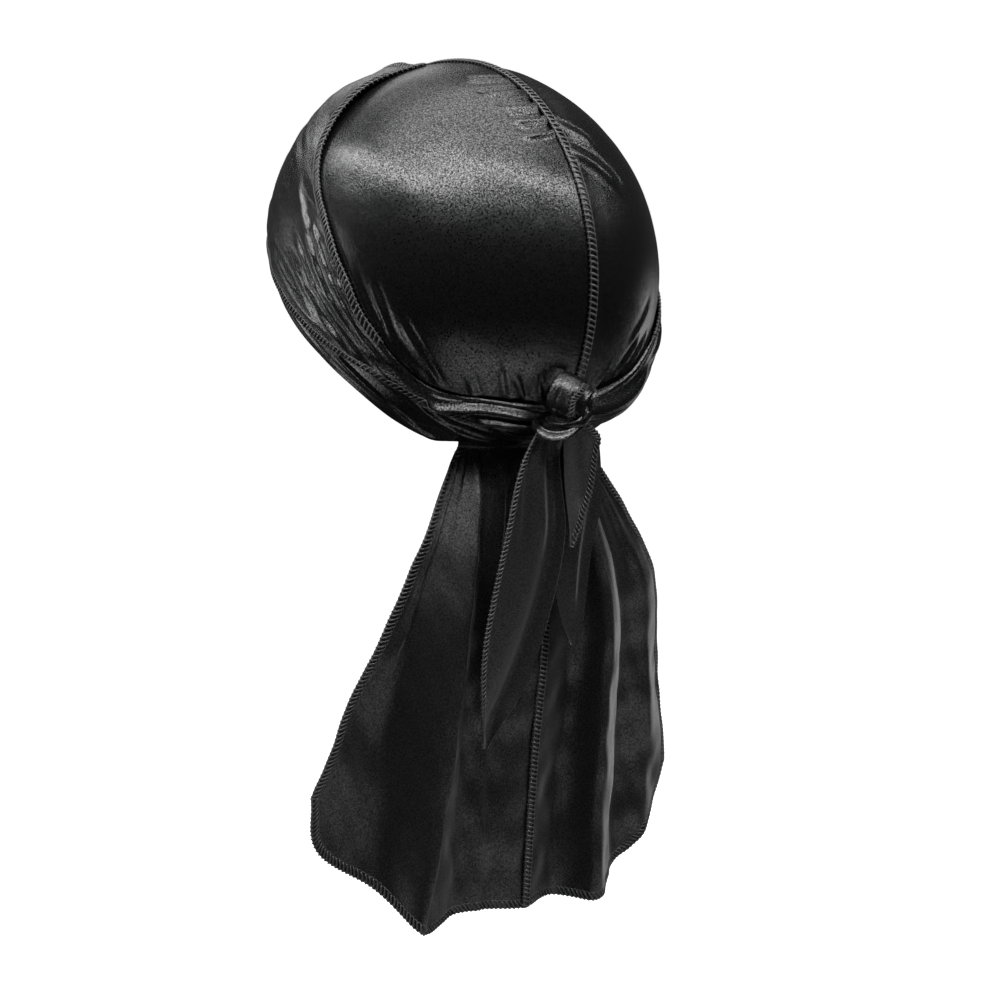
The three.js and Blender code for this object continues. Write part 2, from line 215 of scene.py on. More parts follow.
def ease(start, end, x):
    """0 before start, 1 after end, and smooth between them."""
    t = np.clip((np.asarray(x, float) - start) / (end - start), 0, 1)
    return t * t * (3 - 2 * t)


def noise(points, size, seed):
    """Smooth noise from -1 to 1 over an array of points, with bumps about `size` across."""
    dice = np.random.default_rng(seed)
    total = np.zeros(points.shape[:-1])
    for _ in range(9):
        way = dice.normal(size=3)
        way *= 2 * math.pi / (size * np.linalg.norm(way) * dice.uniform(0.8, 1.6))
        total += np.sin(points @ way + dice.uniform(0, 2 * math.pi))
    return total / 4.5


def fold_relief(surface, folds):
    """Height of the drawn folds at every point of a surface. A fold row is (height mm, half width mm, its
    hollow's share, then the points of its line)."""
    relief = np.zeros(surface.shape[:-1])
    for height, half_width, hollow, *line in folds:
        stops = np.array(line, float) * degree
        steps = np.linspace(0, len(stops) - 1, 16)
        route = through(np.column_stack((range(len(stops)), stops)), steps)
        path = head_point(route[:, 0], route[:, 1], crown_lift)
        nearest = np.full(relief.shape, 1e9)
        signed = np.zeros(relief.shape)
        along = np.zeros(relief.shape)
        for k in range(len(path) - 1):
            step = path[k + 1] - path[k]
            off = surface - path[k]
            t = np.clip(off @ step / (step @ step), 0, 1)
            gap = off - t[..., None] * step
            distance = np.linalg.norm(gap, axis=-1)
            sideways = np.sign(gap @ np.cross(path[k], step))
            closer = distance < nearest
            nearest = np.where(closer, distance, nearest)
            signed = np.where(closer, distance * sideways, signed)
            along = np.where(closer, (k + t) / (len(path) - 1), along)
        width = half_width * mm
        fade = ease(0, 0.3, along) * (1 - ease(0.7, 1, along))
        ridge = np.exp(-((signed / width) ** 2))
        valley = np.exp(-(((signed - 1.5 * width) / (0.8 * width)) ** 2))
        relief += height * mm * fade * (ridge - hollow * valley)
    return relief


def satin_finish(name, base, roughness, sheen, sparkle_range):
    """Black satin: a smooth weave of long floats, glossy, with a fine sparkle where the floats catch light.
    sparkle_range is the least and the most that a float shines."""
    material, shader = plain_material(name, base, roughness)
    nodes = material.node_tree.nodes
    links = material.node_tree.links
    place = nodes.new("ShaderNodeTexCoord")
    sparkle = nodes.new("ShaderNodeTexNoise")
    sparkle.inputs["Scale"].default_value = 1350.0
    sparkle.inputs["Detail"].default_value = 2.5
    sparkle.inputs["Roughness"].default_value = 0.7
    links.new(place.outputs["Object"], sparkle.inputs["Vector"])
    shine = nodes.new("ShaderNodeMapRange")
    shine.inputs["From Min"].default_value = 0.38
    shine.inputs["From Max"].default_value = 0.64
    shine.inputs["To Min"].default_value = sparkle_range[0]
    shine.inputs["To Max"].default_value = sparkle_range[1]
    links.new(sparkle.outputs["Fac"], shine.inputs["Value"])
    links.new(shine.outputs["Result"], shader.inputs["Specular IOR Level"])
    stretch = nodes.new("ShaderNodeMapping")
    stretch.inputs["Scale"].default_value = (2400.0, 800.0, 1.0)
    floats = nodes.new("ShaderNodeTexNoise")
    floats.inputs["Scale"].default_value = 1.0
    floats.inputs["Detail"].default_value = 1.0
    links.new(place.outputs["UV"], stretch.inputs["Vector"])
    links.new(stretch.outputs["Vector"], floats.inputs["Vector"])
    weave = nodes.new("ShaderNodeMath")
    weave.operation = "ADD"
    links.new(sparkle.outputs["Fac"], weave.inputs[0])
    links.new(floats.outputs["Fac"], weave.inputs[1])
    bump = nodes.new("ShaderNodeBump")
    bump.inputs["Strength"].default_value = 0.5
    bump.inputs["Distance"].default_value = 0.16 * mm
    links.new(weave.outputs["Value"], bump.inputs["Height"])
    links.new(bump.outputs["Normal"], shader.inputs["Normal"])
    shader.inputs["Sheen Weight"].default_value = sheen
    shader.inputs["Sheen Roughness"].default_value = 0.35
    return material


satin = satin_finish("stretched_satin", (0.0035, 0.0035, 0.0038), 0.27, 0.03, (0.12, 1.7))


def cloth_sheet(name, points, away_from=head_middle, thickness=satin_thickness, finish=satin):
    """A grid shaped into a sheet of cloth: points by row and column, then given its wall inwards."""
    rows, columns = points.shape[:2]
    bpy.ops.object.select_all(action="DESELECT")
    bpy.ops.mesh.primitive_grid_add(x_subdivisions=columns - 1, y_subdivisions=rows - 1, size=2)
    piece = bpy.context.object
    piece.name = piece.data.name = name
    mesh = piece.data
    mesh.vertices.foreach_set("co", points.reshape(-1))
    long_way = np.linalg.norm(np.diff(points[rows // 2], axis=0), axis=1).sum()
    wide_way = np.linalg.norm(np.diff(points[:, columns // 2], axis=0), axis=1).sum()
    uv = np.empty(2 * len(mesh.loops))
    mesh.uv_layers[0].data.foreach_get("uv", uv)
    mesh.uv_layers[0].data.foreach_set("uv", (uv.reshape(-1, 2) * (long_way, wide_way)).reshape(-1))
    middle = points[rows // 2, columns // 2]
    across = points[rows // 2 + 1, columns // 2] - middle
    along = points[rows // 2, columns // 2 + 1] - middle
    inside_out = np.cross(along, across) @ (middle - np.array(away_from)) < 0
    bpy.ops.object.mode_set(mode="EDIT")
    bpy.ops.mesh.select_all(action="SELECT")
    bpy.ops.mesh.remove_doubles(threshold=1e-6)
    if inside_out:
        bpy.ops.mesh.flip_normals()
    bpy.ops.object.mode_set(mode="OBJECT")
    bpy.ops.object.modifier_add(type="SOLIDIFY")
    wall = piece.modifiers[-1]
    wall.thickness = thickness
    wall.offset = -1.0
    bpy.ops.object.modifier_apply(modifier=wall.name)
    bpy.ops.object.shade_smooth_by_angle(angle=math.radians(70))
    mesh.materials.clear()
    mesh.materials.append(finish)
    return piece


# The crown's lower edge: (turn in degrees, level as a share of the head's height).
crown_edge = [
    (0, -0.63), (36, -0.63), (50, -0.6), (70, -0.44), (90, -0.33), (120, -0.12), (150, 0.03), (180, 0.07),
]
# Folds, each (height mm, half width mm, hollow's share, points as (turn, rise) degrees).
left_folds = [
    (1.1, 2.0, 1.0, (49, 70), (27, 72), (-4, 73)),
    (1.5, 2.2, 1.1, (38, 62), (20, 64), (-7, 66)),
    (1.45, 2.1, 1.1, (28, 57), (12, 58), (-7, 60)),
    (1.4, 2.0, 1.1, (24, 52), (9, 53), (-7, 55)),
    (1.3, 1.9, 1.1, (20, 47), (7, 48), (-6, 50)),
    (0.9, 1.7, 1.0, (67, 6), (62, -3), (57, -12), (45, -23)),
    (0.7, 1.5, 1.1, (57, -3), (49, -14), (42, -24)),
    (0.7, 2.2, 0.8, (75, 8), (67, -4), (58, -14), (49, -24)),
    (0.7, 1.6, 0.6, (26, -14), (22, -27)),
    (0.8, 1.4, 0.7, (21, -17), (16, -27)),
    (0.5, 1.2, 0.6, (14, -18), (10, -27)),
    (0.6, 1.7, 0.6, (35, -18), (31, -27)),
    (0.55, 11.0, 0.5, (118, 38), (72, 33), (38, 24)),
    (0.5, 10.0, 0.5, (42, 42), (21, 36), (-2, 27)),
]
right_folds = [
    (2.2, 3.2, 1.5, (4, 44), (-10, 38), (-21, 28)),
    (1.3, 2.6, 1.1, (3, 53), (-8, 49), (-20, 42)),
    (0.8, 1.4, 0.7, (-7, -25), (-13, -16)),
    (0.9, 1.6, 0.7, (-16, -22), (-26, -9)),
    (0.7, 1.8, 0.6, (-18, -13), (-31, 1)),
    (0.9, 1.7, 0.7, (-14, -27), (-25, -17), (-34, -7)),
]


def crown_panel(name, side, folds, seam_lift, row_places, columns, rows):
    """A panel on one side of the head, with its rows and columns drawn together where the folds are. Beside
    the centre seam it stands up by seam_lift mm. Most columns lie on the back half."""
    column_shares = (0, 0.76, 1)
    column_turns = (0, 95, 180)
    turns = np.interp(np.linspace(0, 1, columns), column_shares, column_turns)
    heights = np.interp(np.linspace(0, 1, rows), *row_places)
    turn, v = np.meshgrid(turns, heights)
    lowest = np.arcsin(through(crown_edge, turn))
    rise = lowest + (math.pi / 2 - lowest) * v
    flat = head_point(turn * degree, rise, crown_lift)
    flat[..., 0] *= side
    relief = fold_relief(flat, folds)
    relief += seam_lift * mm * np.exp(-((flat[..., 0] / (5 * mm)) ** 2))
    relief += 0.22 * mm * noise(flat, 34 * mm, 5) + 0.05 * mm * noise(flat, 11 * mm, 8)
    relief *= 1 - ease(0.94, 1.0, v)
    points = head_point(turn * degree, rise, crown_lift + np.maximum(relief, -0.7 * mm))
    points[..., 0] = side * (points[..., 0] + panel_gap)
    return cloth_sheet(name, points)


# Where the rows lie: (shares of the rows, shares of the way from the lower edge to the top).
left_rows = ((0, 0.3, 0.475, 0.925, 1), (0, 0.3, 0.64, 0.9, 1))
right_rows = ((0, 0.25, 0.85, 1), (0, 0.5, 0.75, 1))
crown_left = crown_panel("crown_left_satin", 1, left_folds, 0.0, left_rows, columns=221, rows=201)
crown_right = crown_panel("crown_right_satin", -1, right_folds, 0.9, right_rows, columns=171, rows=161)
for panel, node in ((crown_left, "crown_left"), (crown_right, "crown_right")):
    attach(panel, "root")
    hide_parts(node)

# Crown seam: the two panels' edges are overlocked together, and the seam allowance shows as a raised
# ladder of thread. It is a narrow band of cloth, with each stitch laid over it as a length of thread.
seam_width = 4.4 * mm
seam_height = 0.9 * mm
seam_pitch = 2.5 * mm


def thread_finish(name, base):
    """Overlock thread: textured polyester filament, as glossy as the satin. Its base colour is a lighter grey
    than the satin's, a painted highlight for the glints the stitches catch.
    """
    material, shader = plain_material(name, base, 0.3)
    shader.inputs["Specular IOR Level"].default_value = 1.0
    nodes = material.node_tree.nodes
    links = material.node_tree.links
    place = nodes.new("ShaderNodeTexCoord")
    fibres = nodes.new("ShaderNodeTexNoise")
    fibres.inputs["Scale"].default_value = 2600.0
    fibres.inputs["Detail"].default_value = 2.0
    links.new(place.outputs["Object"], fibres.inputs["Vector"])
    bump = nodes.new("ShaderNodeBump")
    bump.inputs["Strength"].default_value = 0.6
    bump.inputs["Distance"].default_value = 0.1 * mm
    links.new(fibres.outputs["Fac"], bump.inputs["Height"])
    links.new(bump.outputs["Normal"], shader.inputs["Normal"])
    shader.inputs["Sheen Weight"].default_value = 0.2
    shader.inputs["Sheen Roughness"].default_value = 0.4
    return material


# Painted highlight: the thread's grey base colour stands in for the light that the dark stitches catch.
thread = thread_finish("overlock_thread", (0.085, 0.085, 0.087))


def unit(v):
    """Vectors brought to length 1."""
    return v / np.maximum(np.linalg.norm(v, axis=-1, keepdims=True), 1e-12)


def inset_line(points, distance):
    """The line that runs `distance` inside a sheet's first row, square to it and on the sheet, with the way
    that leads into the sheet and the sheet's normal."""
    edge = points[0]
    near_edge = len(points) // 12 + 1
    along = unit(np.gradient(edge, axis=0))
    across = points[near_edge] - edge
    normal = unit(np.cross(along, across))
    inward = unit(np.cross(normal, along))
    inward *= np.sign(np.sum(inward * across, axis=1, keepdims=True))
    target = edge + distance * inward
    cloth = points.reshape(-1, 3)
    tree = KDTree(len(cloth))
    for index, point in enumerate(cloth):
        tree.insert(point, index)
    tree.balance()
    nearest = np.array([tree.find(point)[0] for point in target])
    line = target + np.sum((nearest - target) * normal, axis=1, keepdims=True) * normal
    return line, inward, normal


def at_length(line, run, where):
    """Points of a line at the lengths `where`. run is how far along the line each of its own points is."""
    return np.stack([np.interp(where, run, line[:, axis]) for axis in range(3)], -1)


def thread_mesh(name, groups):
    """One mesh of many threads. A group is (routes and normals by thread and station, width, height)."""
    vertices = []
    faces = []
    total = 0
    sides = 5
    around = np.arange(sides) * 2 * math.pi / sides
    corner = np.arange(sides)
    after = (corner + 1) % sides
    for routes, normals, width, height in groups:
        count, stations = routes.shape[:2]
        tangent = unit(np.gradient(routes, axis=1))
        sideways = unit(np.cross(tangent, normals))
        upward = np.cross(sideways, tangent)
        taper = np.ones(stations)
        taper[0] = taper[-1] = 0.6
        ring = np.cos(around)[:, None] * sideways[:, :, None] * (width / 2)
        ring = (ring + np.sin(around)[:, None] * upward[:, :, None] * (height / 2)) * taper[:, None, None]
        vertices.append((routes[:, :, None] + ring).reshape(-1, 3))
        thread_base = total + np.arange(count)[:, None, None] * stations * sides
        base = thread_base + np.arange(stations - 1)[None, :, None] * sides
        quads = np.stack((base + corner, base + after, base + sides + after, base + sides + corner), -1)
        faces += quads.reshape(-1, 4).tolist()
        faces += (thread_base[:, 0] + corner[::-1]).tolist()
        faces += (thread_base[:, 0] + (stations - 1) * sides + corner).tolist()
        total += count * stations * sides
    mesh = bpy.data.meshes.new(name)
    mesh.from_pydata(np.concatenate(vertices).tolist(), [], faces)
    mesh.shade_smooth()
    mesh.materials.append(thread)
    piece = bpy.data.objects.new(name, mesh)
    bpy.context.collection.objects.link(piece)
    bpy.ops.object.select_all(action="DESELECT")
    bpy.context.view_layer.objects.active = piece
    piece.select_set(True)
    bpy.ops.object.mode_set(mode="EDIT")
    bpy.ops.mesh.select_all(action="SELECT")
    bpy.ops.mesh.normals_make_consistent(inside=False)
    bpy.ops.object.mode_set(mode="OBJECT")
    return piece


def lengths(line):
    """How far along a line each of its points is."""
    return np.concatenate(((0,), np.cumsum(np.linalg.norm(np.diff(line, axis=0), axis=1))))


def overlock(name, points, away_from, pitch, width, slant, seed, part=(0.0, 1.0)):
    """Overlock stitches along the first row of a sheet's points: rungs from the needle line out over the
    edge and round it, a chain along the edge, and the needle line itself. slant is how many pitches a rung
    runs on as it crosses, and part is the stretch of the edge."""
    edge = points[0]
    inner, inward, normal = inset_line(points, width)
    middle = inset_line(points, width / 2)[0]
    normal *= np.sign(np.sum(normal * (edge - np.array(away_from))))
    run = lengths(edge)
    stretch = (part[1] - part[0]) * run[-1]
    count = int(stretch / pitch)
    spacing = stretch / count
    dice = np.random.default_rng(seed)
    start = part[0] * run[-1] + (np.arange(count) + 0.2 + dice.uniform(-0.06, 0.06, count)) * spacing
    reach = dice.uniform(-0.15, 0.25, count) * mm

    def put(line, where, out, inwards):
        """Points beside a line, `out` from the cloth's face and `inwards` from its edge, with the face's
        normal at each."""
        face = at_length(normal, run, where)
        into = at_length(inward, run, where)
        return at_length(line, run, where) + out[:, None] * face + inwards[:, None] * into, face

    same = np.ones(count) * mm
    stops = [
        put(inner, start, 0.05 * same, reach),
        put(middle, start + slant / 2 * spacing, 0.5 * same, 0.4 * same),
        put(edge, start + 0.9 * slant * spacing, 0.45 * same, 0.5 * same),
        put(edge, start + slant * spacing, -0.2 * same, -0.35 * same),
        put(edge, start + (slant + 0.15) * spacing, -0.9 * same, 0.4 * same),
    ]
    rungs = np.stack([s[0] for s in stops], 1)
    facing = np.stack([s[1] for s in stops], 1)
    facing[:, 3] = -at_length(inward, run, start)
    facing[:, 4] *= -1
    groups = [(rungs, facing, 0.38 * pitch, 0.5 * mm)]
    where = part[0] * run[-1] + np.arange(4 * count) / 4 * spacing
    phase = 2 * math.pi * np.arange(4 * count) / 4
    for line, out, into, swing, thickness in ((edge, 0.2, 0.15, 0.22, 0.55), (inner, 0.15, 0.0, 0.2, 0.35)):
        wave = (into + swing * np.cos(phase)) * mm
        cord, face = put(line, where, (out + 0.12 * np.sin(phase)) * mm, wave)
        groups.append((cord[None], face[None], thickness * mm, 0.8 * thickness * mm))
    return thread_mesh(name, groups)


def sewn(piece):
    """Stitches go with the cloth's body."""
    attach(piece, "root")
    return piece


seam_rise = np.linspace(math.asin(-0.56), math.radians(133), 261)
seam_across = np.linspace(-1, 1, 13)
seam_rises, seam_sides = np.meshgrid(seam_rise, seam_across)
seam_profile = 1 - np.abs(seam_sides) ** 3
seam_out = crown_lift + 0.35 * mm + seam_height * (0.35 + 0.65 * seam_profile)
seam_length = np.where(seam_rises < math.pi / 2, head_back, head_front)
seam_band = np.stack(
    (
        seam_sides * seam_width / 2 - 0.4 * mm,
        (seam_length + seam_out) * np.cos(seam_rises),
        (head_height + seam_out) * np.sin(seam_rises),
    ),
    -1,
)
crown_seam = cloth_sheet("crown_seam_band", seam_band, thickness=0.8 * mm)
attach(crown_seam, "root")
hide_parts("crown_seam")


def ladder(name, band, pitch, seed):
    """Stitches that cross a raised seam band from side to side, slanting like the rungs of a ladder, between
    two lines of chain."""
    middle = band[band.shape[0] // 2]
    face = unit(np.cross(np.gradient(middle, axis=0), band[-1] - band[0]))
    face *= np.sign(np.sum(face * (middle - (band[0] + band[-1]) / 2)))
    run = lengths(middle)
    count = int(run[-1] / pitch)
    dice = np.random.default_rng(seed)
    start = (np.arange(count) + 0.2 + dice.uniform(-0.05, 0.05, count)) * run[-1] / count
    rows = band.shape[0] - 1

    def line_at(share):
        row = share * rows
        low = min(int(row), rows - 1)
        return band[low] + (row - low) * (band[low + 1] - band[low])

    # A rung's stations: (share of the band's width, shift in pitches, height over the band in mm).
    rung = [
        (0.0, 0.0, -0.4), (0.08, 0.05, 0.2), (0.35, 0.22, 0.4),
        (0.65, 0.42, 0.4), (0.92, 0.6, 0.2), (1, 0.66, -0.4),
    ]
    routes = []
    normals = []
    for share, shift, lift in rung:
        outward = at_length(face, run, start + shift * pitch)
        routes.append(at_length(line_at(share), run, start + shift * pitch) + lift * mm * outward)
        normals.append(outward)
    groups = [(np.stack(routes, 1), np.stack(normals, 1), 1.0 * mm, 0.55 * mm)]
    where = np.arange(4 * count) / (4 * count) * run[-1]
    phase = 2 * math.pi * np.arange(4 * count) / 4
    for share, swing in ((0.08, 0.04), (0.94, 0.04)):
        outward = at_length(face, run, where)
        inner_line = at_length(line_at(share + swing), run, where)
        outer_line = at_length(line_at(share - swing), run, where)
        blend = (0.5 + 0.5 * np.cos(phase))[:, None]
        cord = inner_line * blend + outer_line * (1 - blend) + 0.25 * mm * outward
        groups.append((cord[None], outward[None], 0.6 * mm, 0.5 * mm))
    return thread_mesh(name, groups)


sewn(ladder("crown_seam_stitches", seam_band, seam_pitch, 3))

# Nape wrap: the first pass of both satin straps, low round the sides and the nape, which gathers the cape. It
# is one sheet with soft pleats along it, pulled tight over the crown's lower edge.
nape_edges = [
    (-118, -0.14, 0.1), (-90, -0.36, -0.12), (-70, -0.47, -0.22), (-50, -0.6, -0.32), (-30, -0.65, -0.43),
    (0, -0.66, -0.5), (20, -0.66, -0.5), (34, -0.655, -0.48), (47, -0.655, -0.43), (60, -0.585, -0.34),
    (75, -0.455, -0.26), (90, -0.345, -0.16), (118, -0.13, 0.08),
]
# Folds along a strap: (height mm, reach below and above its line in mm, points as (turn, share of width)).
nape_folds = [
    (1.4, 3.0, 1.2, (62, 1.0), (53, 0.82), (44, 0.54), (31, 0.18), (17, 0.03), (5, 0.03)),
    (1.1, 2.5, 1.1, (84, 0.66), (72, 0.5), (60, 0.33), (50, 0.12), (40, 0.0)),
    (0.7, 2.0, 1.0, (50, 0.92), (40, 0.7), (28, 0.45), (12, 0.3), (0, 0.3)),
    (-0.6, 0.8, 0.8, (46, 0.95), (36, 0.75), (24, 0.55), (8, 0.42)),
    (0.9, 1.3, 1.3, (-118, 0.3), (-60, 0.4), (-10, 0.35)),
    (0.8, 1.1, 1.1, (-110, 0.66), (-50, 0.7), (-5, 0.7)),
    (-0.7, 0.9, 0.9, (-100, 0.5), (-50, 0.55), (-8, 0.52)),
    (0.7, 1.1, 1.1, (118, 0.4), (96, 0.3), (78, 0.2)),
]


def strip_relief(along, across, width, folds):
    """Height in mm of the folds that run along a strip. across is a share of its width in mm. A fold that
    reaches further to one side lies over like a shingle. A negative height is a crease."""
    relief = np.zeros(np.broadcast_shapes(along.shape, across.shape))
    for height, below, above, *line in folds:
        stops = np.array(sorted(line), float)
        share = (along - stops[0, 0]) / (stops[-1, 0] - stops[0, 0])
        fade = ease(0, 0.2, share) * (1 - ease(0.8, 1, share))
        offset = (across - through(stops, along)) * width
        reach = np.where(offset > 0, offset / above, -offset / below)
        leaning = ((offset > 0) == (above > below)) & (max(above, below) > 1.9 * min(above, below))
        relief += height * fade * np.where(leaning, np.clip(1.08 - 1.08 * reach, 0, 1), np.exp(-(reach**2)))
    return relief


def strap_points(edges, folds, columns, rows, out):
    """A wrapped strap's outer surface. Edge rows are (turn, lower level, upper level). Besides its folds it
    has two sizes of small wrinkles, drawn out along it."""
    u, w = np.meshgrid(np.linspace(0, 1, columns), np.linspace(0, 1, rows))
    turn = edges[0][0] + (edges[-1][0] - edges[0][0]) * u
    levels = through(edges, turn)
    width = levels[..., 1] - levels[..., 0]
    level = levels[..., 0] + width * w
    rise = np.arcsin(np.clip(level, -1, 1))
    across = w * width * head_height
    relief = strip_relief(turn, w, width * head_height / mm, folds)
    relief += 0.3 * noise(np.stack((turn * 0.12 * mm, across, 0 * turn), -1), 5 * mm, 51)
    relief += 0.1 * noise(np.stack((turn * 0.09 * mm, across, 0 * turn), -1), 2.5 * mm, 52)
    return head_point(turn * degree, rise, out(turn, w, level, relief) * mm)


def rolled(w):
    """How far a strap has risen off the cloth below between its edge and its middle, from 0 to 1."""
    edge_share = 0.06
    return ease(0, edge_share, w) * (1 - ease(1 - edge_share, 1, w))


def nape_out(turn, w, level, relief):
    """How far the nape wrap's surface lies off the head form, in mm: just clear of the crown."""
    return np.clip(2.25 + 0.5 * rolled(w) + relief, 1.9, 4.0)


nape_points = strap_points(nape_edges, nape_folds, 241, 41, nape_out)
nape_wrap = cloth_sheet("nape_wrap_satin", nape_points)
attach(nape_wrap, "root")
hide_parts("nape_wrap")

# Straps: the second pass of each strap, from the crossing on the forehead back to the knot. The left one
# lies over the right one in front. Both are wide and smooth at the sides, with overlocked edges, and
# gather into a narrow bundle of pleats at the knot.
left_edges = [
    (10, -0.59, -0.455), (18, -0.575, -0.44), (24, -0.55, -0.43), (30, -0.525, -0.422), (36, -0.51, -0.418),
    (42, -0.49, -0.402), (47, -0.46, -0.376), (52, -0.425, -0.33), (56, -0.395, -0.275), (60, -0.37, -0.215),
    (63, -0.35, -0.16), (68, -0.322, -0.08), (72.5, -0.305, 0.02), (78, -0.285, 0.12), (84, -0.26, 0.222),
    (90, -0.235, 0.308), (96, -0.195, 0.39), (102, -0.16, 0.477), (106, -0.13, 0.55), (110, -0.1, 0.66),
    (114, -0.07, 0.8), (118, -0.045, 0.88), (124, -0.01, 0.935), (132, 0.03, 0.965), (142, 0.06, 0.97),
    (155, 0.08, 0.95), (180, 0.1, 0.82), (205, 0.11, 0.48), (225, 0.12, 0.2),
]
left_folds_along = [
    (
        1.6, 8.0, 3.0, (112, 0.66), (107, 0.68), (100, 0.71), (94, 0.66), (89, 0.59), (83, 0.53),
        (76, 0.48), (68, 0.38), (60, 0.28), (50, 0.22),
    ),
    (1.2, 4.0, 1.8, (98, 0.84), (92, 0.78), (86, 0.72), (80, 0.67), (72, 0.61), (64, 0.54), (54, 0.48)),
    (0.9, 3.0, 1.5, (88, 0.88), (79, 0.8), (74, 0.76), (68, 0.76), (62, 0.79), (52, 0.8)),
    (1.2, 5.0, 2.2, (106, 0.34), (102, 0.34), (94, 0.3), (86, 0.24), (77, 0.17), (68, 0.08), (60, 0.0)),
    (1.1, 3.5, 1.6, (106, 0.5), (101, 0.5), (94, 0.46), (87, 0.4), (80, 0.34), (72, 0.26), (64, 0.16)),
    (0.8, 3.0, 3.0, (200, 0.3), (160, 0.3), (130, 0.4)),
    (0.7, 3.0, 3.0, (200, 0.75), (170, 0.7), (140, 0.6)),
    (0.8, 2.5, 1.2, (64, 0.3), (56, 0.3), (46, 0.35), (38, 0.4)),
    (2.2, 2.2, 1.1, (52, -0.2), (47, 0.05), (41, 0.4), (36, 0.56), (27, 0.72), (17, 0.74), (9, 0.7)),
    (-1.3, 0.7, 0.7, (38, 0.78), (27, 0.86), (17, 0.86), (6, 0.84)),
    (2.6, 2.4, 1.2, (34, 0.05), (30, 0.18), (25, 0.34), (20, 0.42), (10, 0.48), (3, 0.5)),
    (-1.8, 0.7, 0.7, (36, 0.28), (30, 0.44), (24, 0.54), (14, 0.6), (4, 0.62)),
    (-1.2, 0.6, 0.6, (46, 0.75), (38, 0.9), (30, 0.97)),
    (1.4, 1.3, 0.6, (30, 0.0), (22, 0.22), (13, 0.36), (3, 0.42)),
    (1.4, 1.3, 0.6, (26, -0.03), (20, 0.08), (12, 0.18), (3, 0.24)),
]
right_edges = [
    (-200, 0.14, 0.74), (-180, 0.13, 0.86), (-165, 0.11, 0.885), (-150, 0.09, 0.86), (-120, -0.03, 0.64),
    (-90, -0.25, 0.34), (-60, -0.31, 0.04), (-42, -0.4, -0.13), (-32, -0.47, -0.25), (-25, -0.53, -0.325),
    (-15, -0.56, -0.38), (-1, -0.55, -0.415),
]
right_folds_along = [
    (2.0, 3.0, 2.4, (-95, 0.7), (-60, 0.66), (-30, 0.62)),
    (3.0, 2.4, 3.4, (-36, 0.54), (-25, 0.6), (-10, 0.64), (3, 0.66)),
    (1.5, 2.6, 1.2, (-90, 0.45), (-60, 0.46), (-20, 0.46), (20, 0.48)),
    (1.2, 1.8, 0.9, (-80, 0.26), (-50, 0.28), (-4, 0.3), (20, 0.3)),
    (1.0, 1.2, 0.7, (-70, 0.13), (-30, 0.14), (-4, 0.16), (20, 0.16)),
    (-0.8, 0.6, 0.6, (-90, 0.9), (-50, 0.92), (-10, 0.93)),
    (1.0, 4.0, 4.0, (-175, 0.8), (-130, 0.84), (-90, 0.86)),
    (0.9, 4.0, 4.0, (-180, 0.5), (-130, 0.5), (-85, 0.6)),
    (0.8, 4.0, 4.0, (-180, 0.25), (-130, 0.25), (-90, 0.2)),
]


def nape_cover(turn, level):
    """1 where the nape wrap lies under a strap, and 0 beside it."""
    edges = through(nape_edges, turn)
    above = ease(edges[..., 0] - 0.06, edges[..., 0] + 0.01, level)
    below = 1 - ease(edges[..., 1] - 0.01, edges[..., 1] + 0.07, level)
    return above * below * (1 - ease(112, 126, np.abs(turn)))


def half_round(w):
    """The section of a bundle, from 0 at its edges to 1 in its middle."""
    return np.sqrt(np.maximum(1 - (2 * w - 1) ** 2, 0))


# How far the straps lie off the head form, in mm.
strap_lift = 2.9
over_nape_wrap = 2.2
left_bundle = 2.4
right_bundle = 3.6
left_over_right = 4.9
right_in_front = 2.1
roll_lift = 0.35
deepest_crease = -0.9


def left_out(turn, w, level, relief):
    """The left strap's surface: over the nape wrap, bunched at the knot and over the right strap in front."""
    beside = strap_lift - 0.8 * ease(0.86, 0.96, level) + over_nape_wrap * nape_cover(turn, level)
    beside = beside + left_bundle * (1 - ease(14, 48, turn)) * half_round(w)
    arched = ease(-0.2, 0.25, level) * (1 - ease(0.72, 0.97, level))
    crossing = ease(150, 175, turn)
    over = left_over_right * ease(98, 130, turn) * (arched + (1 - arched) * crossing)
    return beside + over + roll_lift * rolled(w) + np.maximum(relief, deepest_crease)


def right_out(turn, w, level, relief):
    """The right strap's surface: over the nape wrap, bunched at the knot and a little looser in front."""
    bunched = right_bundle * (1 - ease(14, 60, -turn)) * half_round(w)
    beside = strap_lift + over_nape_wrap * nape_cover(turn, level) + bunched
    in_front = right_in_front * ease(120, 150, -turn)
    return beside + in_front + roll_lift * rolled(w) + np.maximum(relief, deepest_crease)


strap_pitch = 2.5 * mm
strap_edge_width = 3.6 * mm
left_points = strap_points(left_edges, left_folds_along, 281, 101, left_out)
right_points = strap_points(right_edges, right_folds_along, 261, 65, right_out)
left_wrap = cloth_sheet("left_wrap_satin", left_points)
right_wrap = cloth_sheet("right_wrap_satin", right_points)
strap_slant = 1.0
strap_stitches = []
for name, points, seed, part in (
    ("left_upper_stitches", left_points[::-1], 11, (0.2, 1)),
    ("left_lower_stitches", left_points, 12, (0.1, 1)),
    ("right_upper_stitches", right_points[::-1], 13, (0, 0.8)),
    ("right_lower_stitches", right_points, 14, (0, 0.8)),
):
    row = overlock(name, points, head_middle, strap_pitch, strap_edge_width, strap_slant, seed, part)
    strap_stitches.append(row)
for strap, node, stitches in (
    (left_wrap, "left_wrap", strap_stitches[:2]),
    (right_wrap, "right_wrap", strap_stitches[2:]),
):
    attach(strap, "root")
    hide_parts(node)
    for row in stitches:
        sewn(row)

